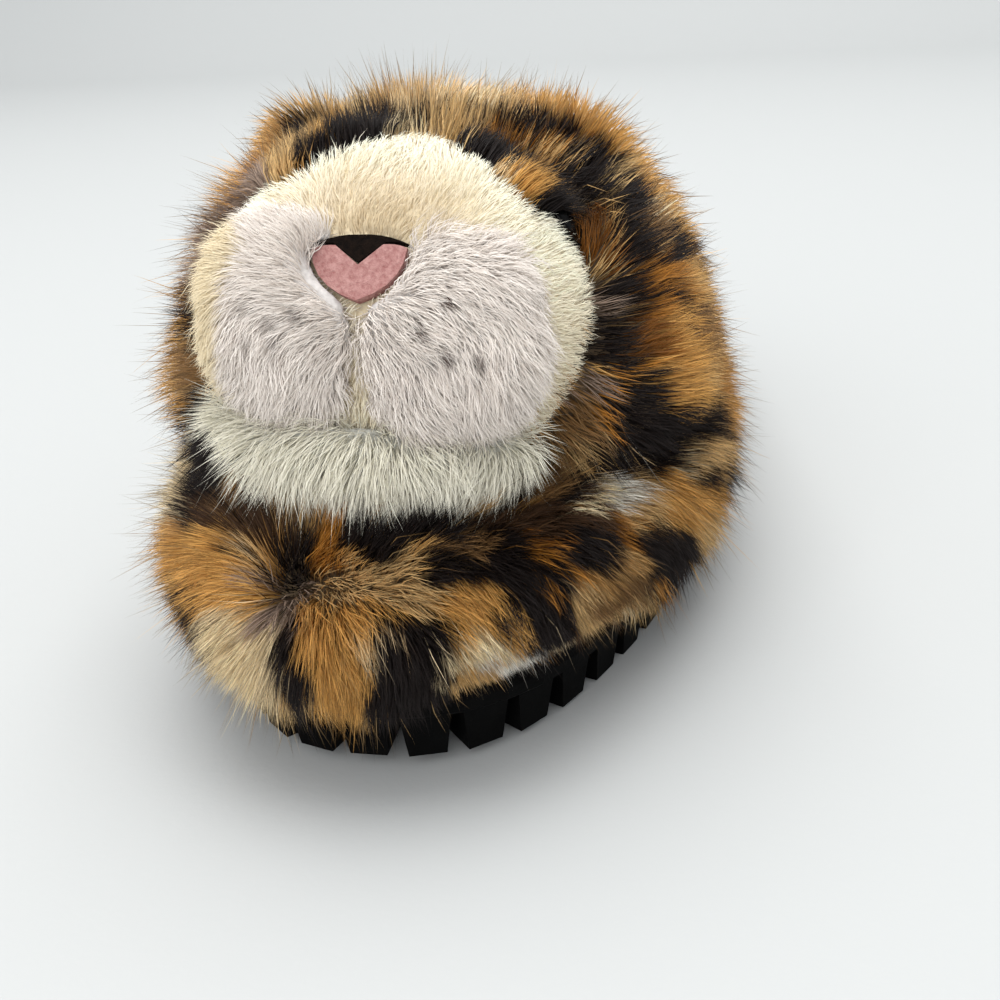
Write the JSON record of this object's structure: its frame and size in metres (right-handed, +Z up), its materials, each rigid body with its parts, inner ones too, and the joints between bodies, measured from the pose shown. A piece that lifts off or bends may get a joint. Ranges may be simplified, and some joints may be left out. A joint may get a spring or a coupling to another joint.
{
  "type": "faux fur slide",
  "caption": "Platform slide with a fur-wrapped sole, lugged outsole and a hollow closed-toe upper shaped as a plush big-cat head with a stuffed muzzle.",
  "frame": {"origin": "on the floor, in the middle of the shoe's length and width", "axes": "-Y towards the toe, +X towards the outer side of a left shoe, +Z up"},
  "size_m": [0.1274, 0.2992, 0.1264],
  "materials": {
    "outsole_rubber": "matt black, moulded lugs",
    "platform_fur": "deep faux fur, leopard pattern in tan, golden brown and near black",
    "insole_plush": "short plush",
    "upper_fur": "deep faux fur, leopard pattern",
    "head_fur": "deep faux fur, leopard pattern",
    "ear_fur": "faux fur",
    "muzzle_pile": "short cream pile",
    "pad_pile": "grey-white pile",
    "chin_pile": "long white pile",
    "nose_felt": "pink felt",
    "rim_felt": "black felt",
    "eye": "black, smooth"
  },
  "bodies": {
    "root": {"outsole": "outsole_rubber", "platform_wrap": "platform_fur", "insole": "insole_plush", "upper": "upper_fur", "head": "head_fur", "ear_left": "ear_fur", "ear_right": "ear_fur", "muzzle": "muzzle_pile", "pad_left": "pad_pile", "pad_right": "pad_pile", "chin": "chin_pile", "nose": "nose_felt", "nose_rim": "rim_felt", "eye_left": "eye", "eye_right": "eye"}
  },
  "joints": []
}
